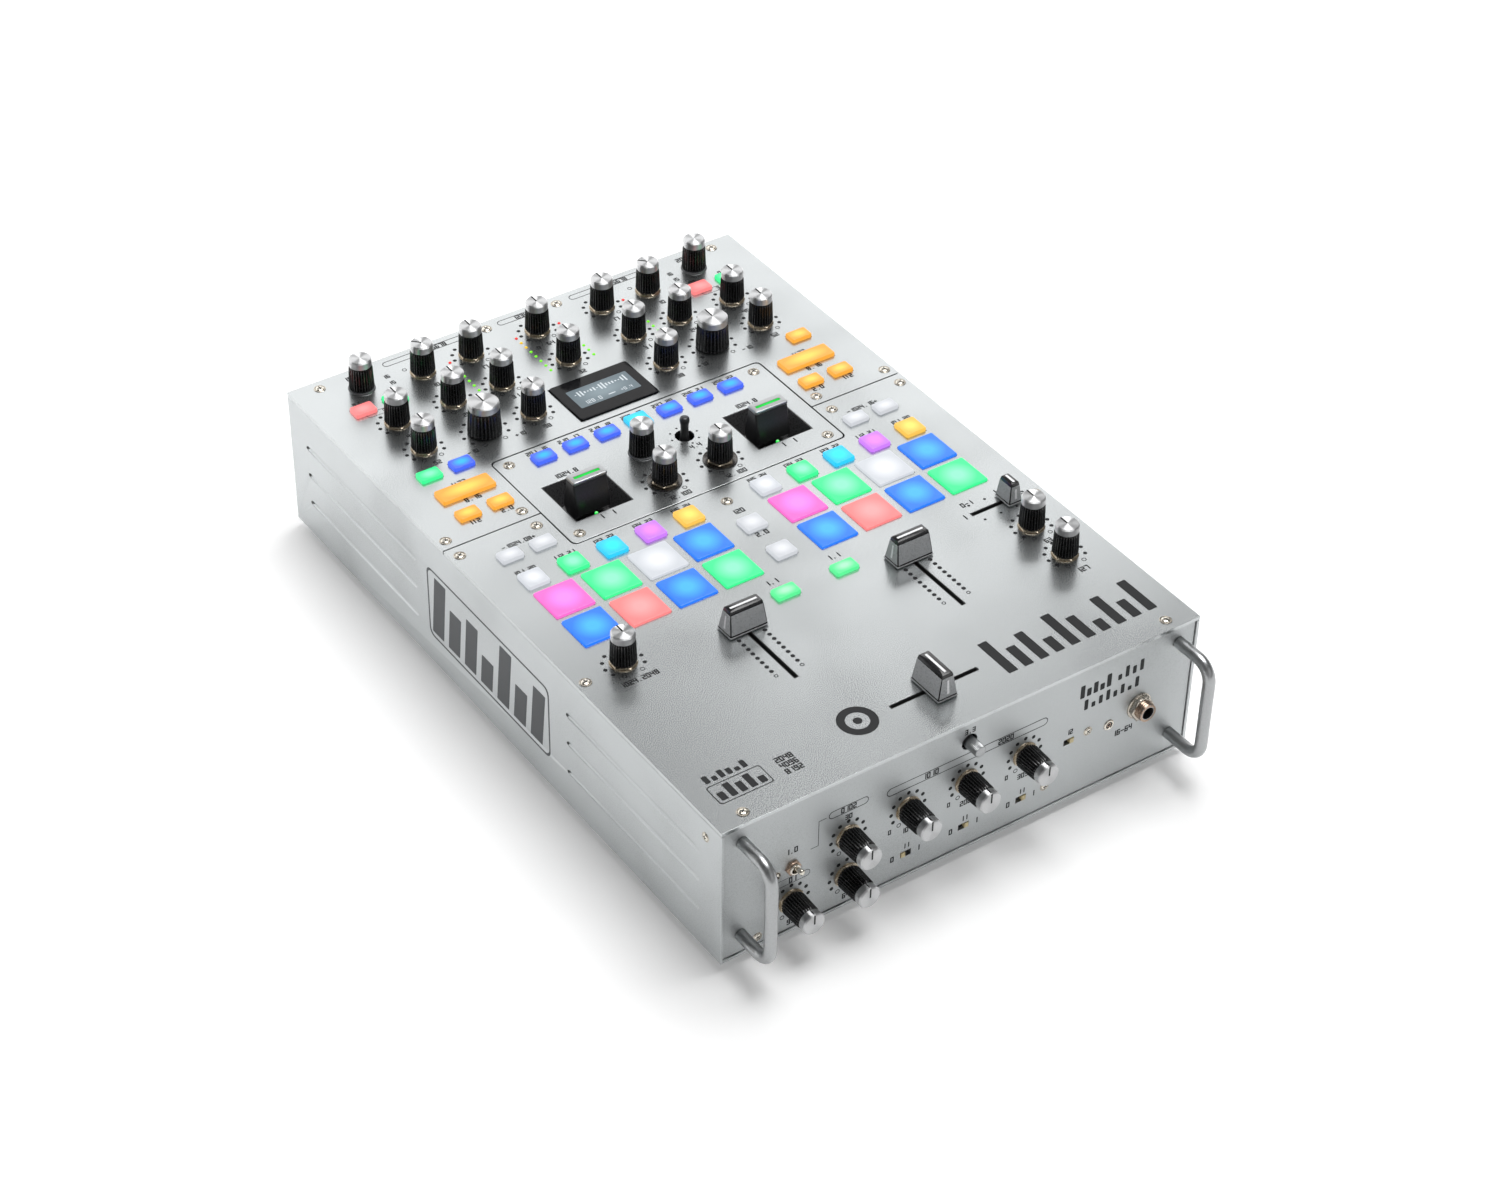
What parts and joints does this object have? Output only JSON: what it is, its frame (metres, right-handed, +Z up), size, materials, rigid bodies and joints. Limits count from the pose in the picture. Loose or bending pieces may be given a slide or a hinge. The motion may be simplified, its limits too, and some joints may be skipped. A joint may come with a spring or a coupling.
{
  "type": "dj mixer",
  "caption": "Tabletop DJ mixer in a folded metal body, with turning knobs, sliding faders, sprung paddles, lit key mats and front handles.",
  "frame": {"origin": "on the floor, under the centre of the overall box, handles included", "axes": "+X to the operator's right, +Y to the rear (the handles point to -Y), +Z up"},
  "size_m": [0.264, 0.4096, 0.1007],
  "materials": {
    "housing": "bead-blasted and clear anodised, slightly bluish light grey with a fine grain",
    "handle_steel": "satin-polished round bar",
    "knob_black": "fluted black moulding with a spun aluminium cap",
    "turned_metal": "turned, bright",
    "cap_plastic": "satin dark grey moulding",
    "key_silicone": "translucent silicone, lit from below",
    "display_gloss": "glossy black window",
    "circuit_board": "green solder mask",
    "foot_rubber": "moulded, matt"
  },
  "bodies": {
    "body_shell": {"chassis": "housing", "rear_top_plate": "housing", "fx_plate": "housing", "front_top_plate": "housing", "front_panel": "housing", "handle_left": "handle_steel", "handle_right": "handle_steel", "display_module": "display_gloss", "circuit_boards": "circuit_board", "foot_front_left": "foot_rubber", "foot_front_right": "foot_rubber", "foot_rear_left": "foot_rubber", "foot_rear_right": "foot_rubber"},
    "browse_knob_left": {"browse_knob_left": "knob_black"},
    "browse_knob_right": {"browse_knob_right": "knob_black"},
    "source_knob_left": {"source_knob_left": "knob_black"},
    "source_knob_right": {"source_knob_right": "knob_black"},
    "high_knob_left": {"high_knob_left": "knob_black"},
    "high_knob_right": {"high_knob_right": "knob_black"},
    "level_knob_left": {"level_knob_left": "knob_black"},
    "level_knob_right": {"level_knob_right": "knob_black"},
    "mid_knob_left": {"mid_knob_left": "knob_black"},
    "mid_knob_right": {"mid_knob_right": "knob_black"},
    "filter_knob_left": {"filter_knob_left": "knob_black"},
    "filter_knob_right": {"filter_knob_right": "knob_black"},
    "low_knob_left": {"low_knob_left": "knob_black"},
    "low_knob_right": {"low_knob_right": "knob_black"},
    "fx_depth_knob_left": {"fx_depth_knob_left": "knob_black"},
    "fx_depth_knob_right": {"fx_depth_knob_right": "knob_black"},
    "master_knob": {"master_knob": "knob_black"},
    "booth_knob": {"booth_knob": "knob_black"},
    "mic_level_knob": {"mic_level_knob": "knob_black"},
    "mic_tone_knob": {"mic_tone_knob": "knob_black"},
    "session_in_knob": {"session_in_knob": "knob_black"},
    "session_out_knob": {"session_out_knob": "knob_black"},
    "fx_time_knob": {"fx_time_knob": "knob_black"},
    "sampler_knob": {"sampler_knob": "knob_black"},
    "cue_mix_knob": {"cue_mix_knob": "knob_black"},
    "cue_level_knob": {"cue_level_knob": "knob_black"},
    "aux_mic_level_knob": {"aux_mic_level_knob": "knob_black"},
    "aux_mic_tone_knob": {"aux_mic_tone_knob": "knob_black"},
    "mic_echo_knob": {"mic_echo_knob": "knob_black"},
    "left_contour_knob": {"left_contour_knob": "knob_black"},
    "cross_contour_knob": {"cross_contour_knob": "knob_black"},
    "right_contour_knob": {"right_contour_knob": "knob_black"},
    "tension_knob": {"tension_knob": "turned_metal"},
    "mic_lever": {"mic_lever": "turned_metal"},
    "select_stick": {"select_stick": "knob_black"},
    "fx_paddle_left": {"fx_paddle_left": "cap_plastic"},
    "fx_paddle_right": {"fx_paddle_right": "cap_plastic"},
    "channel_fader_left": {"channel_fader_left": "cap_plastic"},
    "channel_fader_right": {"channel_fader_right": "cap_plastic"},
    "crossfader": {"crossfader": "cap_plastic"},
    "cue_fader": {"cue_fader": "cap_plastic"},
    "side_key_mat_left": {"side_key_mat_left": "key_silicone"},
    "side_key_mat_right": {"side_key_mat_right": "key_silicone"},
    "pad_mat_left": {"pad_mat_left": "key_silicone"},
    "pad_mat_right": {"pad_mat_right": "key_silicone"},
    "fx_key_mat": {"fx_key_mat": "key_silicone"},
    "centre_key_mat": {"centre_key_mat": "key_silicone"}
  },
  "joints": [
    {"name": "browse_knob_left_turn", "type": "hinge", "parent": "body_shell", "child": "browse_knob_left", "pos_m": [-0.099, 0.1881, 0.0827], "axis": [0, 0, 1], "continuous": true},
    {"name": "browse_knob_right_turn", "type": "hinge", "parent": "body_shell", "child": "browse_knob_right", "pos_m": [0.099, 0.1881, 0.0827], "axis": [0, 0, 1], "continuous": true},
    {"name": "source_knob_left_turn", "type": "hinge", "parent": "body_shell", "child": "source_knob_left", "pos_m": [-0.067, 0.1831, 0.0827], "axis": [0, 0, 1], "range_deg": [-80, 0]},
    {"name": "source_knob_right_turn", "type": "hinge", "parent": "body_shell", "child": "source_knob_right", "pos_m": [0.067, 0.1831, 0.0827], "axis": [0, 0, 1], "range_deg": [-80, 0]},
    {"name": "high_knob_left_turn", "type": "hinge", "parent": "body_shell", "child": "high_knob_left", "pos_m": [-0.039, 0.1831, 0.0827], "axis": [0, 0, 1], "range_deg": [-150, 150]},
    {"name": "high_knob_right_turn", "type": "hinge", "parent": "body_shell", "child": "high_knob_right", "pos_m": [0.039, 0.1831, 0.0827], "axis": [0, 0, 1], "range_deg": [-150, 150]},
    {"name": "level_knob_left_turn", "type": "hinge", "parent": "body_shell", "child": "level_knob_left", "pos_m": [-0.067, 0.1531, 0.0827], "axis": [0, 0, 1], "range_deg": [-150, 150]},
    {"name": "level_knob_right_turn", "type": "hinge", "parent": "body_shell", "child": "level_knob_right", "pos_m": [0.067, 0.1531, 0.0827], "axis": [0, 0, 1], "range_deg": [-150, 150]},
    {"name": "mid_knob_left_turn", "type": "hinge", "parent": "body_shell", "child": "mid_knob_left", "pos_m": [-0.039, 0.1531, 0.0827], "axis": [0, 0, 1], "range_deg": [-150, 150]},
    {"name": "mid_knob_right_turn", "type": "hinge", "parent": "body_shell", "child": "mid_knob_right", "pos_m": [0.039, 0.1531, 0.0827], "axis": [0, 0, 1], "range_deg": [-150, 150]},
    {"name": "filter_knob_left_turn", "type": "hinge", "parent": "body_shell", "child": "filter_knob_left", "pos_m": [-0.067, 0.1231, 0.0827], "axis": [0, 0, 1], "range_deg": [-150, 150]},
    {"name": "filter_knob_right_turn", "type": "hinge", "parent": "body_shell", "child": "filter_knob_right", "pos_m": [0.067, 0.1231, 0.0827], "axis": [0, 0, 1], "range_deg": [-150, 150]},
    {"name": "low_knob_left_turn", "type": "hinge", "parent": "body_shell", "child": "low_knob_left", "pos_m": [-0.039, 0.1231, 0.0827], "axis": [0, 0, 1], "range_deg": [-150, 150]},
    {"name": "low_knob_right_turn", "type": "hinge", "parent": "body_shell", "child": "low_knob_right", "pos_m": [0.039, 0.1231, 0.0827], "axis": [0, 0, 1], "range_deg": [-150, 150]},
    {"name": "fx_depth_knob_left_turn", "type": "hinge", "parent": "body_shell", "child": "fx_depth_knob_left", "pos_m": [-0.016, 0.0406, 0.0827], "axis": [0, 0, 1], "range_deg": [-150, 150]},
    {"name": "fx_depth_knob_right_turn", "type": "hinge", "parent": "body_shell", "child": "fx_depth_knob_right", "pos_m": [0.016, 0.0406, 0.0827], "axis": [0, 0, 1], "range_deg": [-150, 150]},
    {"name": "master_knob_turn", "type": "hinge", "parent": "body_shell", "child": "master_knob", "pos_m": [0, 0.1831, 0.0827], "axis": [0, 0, 1], "range_deg": [-150, 150]},
    {"name": "booth_knob_turn", "type": "hinge", "parent": "body_shell", "child": "booth_knob", "pos_m": [0, 0.1531, 0.0827], "axis": [0, 0, 1], "range_deg": [-150, 150]},
    {"name": "mic_level_knob_turn", "type": "hinge", "parent": "body_shell", "child": "mic_level_knob", "pos_m": [-0.099, 0.1526, 0.0827], "axis": [0, 0, 1], "range_deg": [-150, 150]},
    {"name": "mic_tone_knob_turn", "type": "hinge", "parent": "body_shell", "child": "mic_tone_knob", "pos_m": [-0.099, 0.1266, 0.0827], "axis": [0, 0, 1], "range_deg": [-150, 150]},
    {"name": "session_in_knob_turn", "type": "hinge", "parent": "body_shell", "child": "session_in_knob", "pos_m": [0.099, 0.1526, 0.0827], "axis": [0, 0, 1], "range_deg": [-150, 150]},
    {"name": "session_out_knob_turn", "type": "hinge", "parent": "body_shell", "child": "session_out_knob", "pos_m": [0.099, 0.1266, 0.0827], "axis": [0, 0, 1], "range_deg": [-150, 150]},
    {"name": "fx_time_knob_turn", "type": "hinge", "parent": "body_shell", "child": "fx_time_knob", "pos_m": [-0.0124, 0.0663, 0.0827], "axis": [0, 0, 1], "continuous": true},
    {"name": "sampler_knob_turn", "type": "hinge", "parent": "body_shell", "child": "sampler_knob", "pos_m": [-0.1057, -0.0623, 0.0827], "axis": [0, 0, 1], "range_deg": [-150, 150]},
    {"name": "cue_mix_knob_turn", "type": "hinge", "parent": "body_shell", "child": "cue_mix_knob", "pos_m": [0.1091, -0.0842, 0.0827], "axis": [0, 0, 1], "range_deg": [-150, 150]},
    {"name": "cue_level_knob_turn", "type": "hinge", "parent": "body_shell", "child": "cue_level_knob", "pos_m": [0.1091, -0.1095, 0.0827], "axis": [0, 0, 1], "range_deg": [-150, 150]},
    {"name": "aux_mic_level_knob_turn", "type": "hinge", "parent": "body_shell", "child": "aux_mic_level_knob", "pos_m": [-0.0644, -0.1791, 0.046], "axis": [0, -1, 0], "range_deg": [-150, 150]},
    {"name": "aux_mic_tone_knob_turn", "type": "hinge", "parent": "body_shell", "child": "aux_mic_tone_knob", "pos_m": [-0.0644, -0.1791, 0.0231], "axis": [0, -1, 0], "range_deg": [-150, 150]},
    {"name": "mic_echo_knob_turn", "type": "hinge", "parent": "body_shell", "child": "mic_echo_knob", "pos_m": [-0.0943, -0.1791, 0.0231], "axis": [0, -1, 0], "range_deg": [-150, 150]},
    {"name": "left_contour_knob_turn", "type": "hinge", "parent": "body_shell", "child": "left_contour_knob", "pos_m": [-0.0318, -0.1791, 0.0462], "axis": [0, -1, 0], "range_deg": [-150, 150]},
    {"name": "cross_contour_knob_turn", "type": "hinge", "parent": "body_shell", "child": "cross_contour_knob", "pos_m": [0.0009, -0.1791, 0.0462], "axis": [0, -1, 0], "range_deg": [-150, 150]},
    {"name": "right_contour_knob_turn", "type": "hinge", "parent": "body_shell", "child": "right_contour_knob", "pos_m": [0.0336, -0.1791, 0.0462], "axis": [0, -1, 0], "range_deg": [-150, 150]},
    {"name": "tension_knob_turn", "type": "hinge", "parent": "body_shell", "child": "tension_knob", "pos_m": [0.0009, -0.1791, 0.0694], "axis": [0, -1, 0], "range_deg": [-180, 180]},
    {"name": "mic_lever_turn", "type": "hinge", "parent": "body_shell", "child": "mic_lever", "pos_m": [-0.0939, -0.1779, 0.0431], "axis": [1, 0, 0], "range_deg": [0, 32]},
    {"name": "select_stick_turn", "type": "hinge", "parent": "body_shell", "child": "select_stick", "pos_m": [0.0124, 0.0663, 0.078], "axis": [1, 0, 0], "range_deg": [-10, 10], "stiffness_Nm_per_rad": 0.05},
    {"name": "fx_paddle_left_turn", "type": "hinge", "parent": "body_shell", "child": "fx_paddle_left", "pos_m": [-0.0523, 0.0528, 0.075], "axis": [1, 0, 0], "range_deg": [-20, 20], "stiffness_Nm_per_rad": 0.15},
    {"name": "fx_paddle_right_turn", "type": "hinge", "parent": "body_shell", "child": "fx_paddle_right", "pos_m": [0.0523, 0.0528, 0.075], "axis": [1, 0, 0], "range_deg": [-20, 20], "stiffness_Nm_per_rad": 0.15},
    {"name": "channel_fader_left_slide", "type": "slide", "parent": "body_shell", "child": "channel_fader_left", "axis": [0, 1, 0], "range_m": [-0.0408, 0.0042]},
    {"name": "channel_fader_right_slide", "type": "slide", "parent": "body_shell", "child": "channel_fader_right", "axis": [0, 1, 0], "range_m": [-0.0408, 0.0042]},
    {"name": "crossfader_slide", "type": "slide", "parent": "body_shell", "child": "crossfader", "axis": [1, 0, 0], "range_m": [-0.0225, 0.0225]},
    {"name": "cue_fader_slide", "type": "slide", "parent": "body_shell", "child": "cue_fader", "axis": [1, 0, 0], "range_m": [-0.02, 0.001]},
    {"name": "side_key_mat_left_slide", "type": "slide", "parent": "body_shell", "child": "side_key_mat_left", "axis": [0, 0, -1], "range_m": [0, 0.001], "stiffness_N_per_m": 1500, "springref_m": -0.0005},
    {"name": "side_key_mat_right_slide", "type": "slide", "parent": "body_shell", "child": "side_key_mat_right", "axis": [0, 0, -1], "range_m": [0, 0.001], "stiffness_N_per_m": 1500, "springref_m": -0.0005},
    {"name": "pad_mat_left_slide", "type": "slide", "parent": "body_shell", "child": "pad_mat_left", "axis": [0, 0, -1], "range_m": [0, 0.001], "stiffness_N_per_m": 1500, "springref_m": -0.0005},
    {"name": "pad_mat_right_slide", "type": "slide", "parent": "body_shell", "child": "pad_mat_right", "axis": [0, 0, -1], "range_m": [0, 0.001], "stiffness_N_per_m": 1500, "springref_m": -0.0005},
    {"name": "fx_key_mat_slide", "type": "slide", "parent": "body_shell", "child": "fx_key_mat", "axis": [0, 0, -1], "range_m": [0, 0.001], "stiffness_N_per_m": 1500, "springref_m": -0.0005},
    {"name": "centre_key_mat_slide", "type": "slide", "parent": "body_shell", "child": "centre_key_mat", "axis": [0, 0, -1], "range_m": [0, 0.001], "stiffness_N_per_m": 1500, "springref_m": -0.0005}
  ]
}
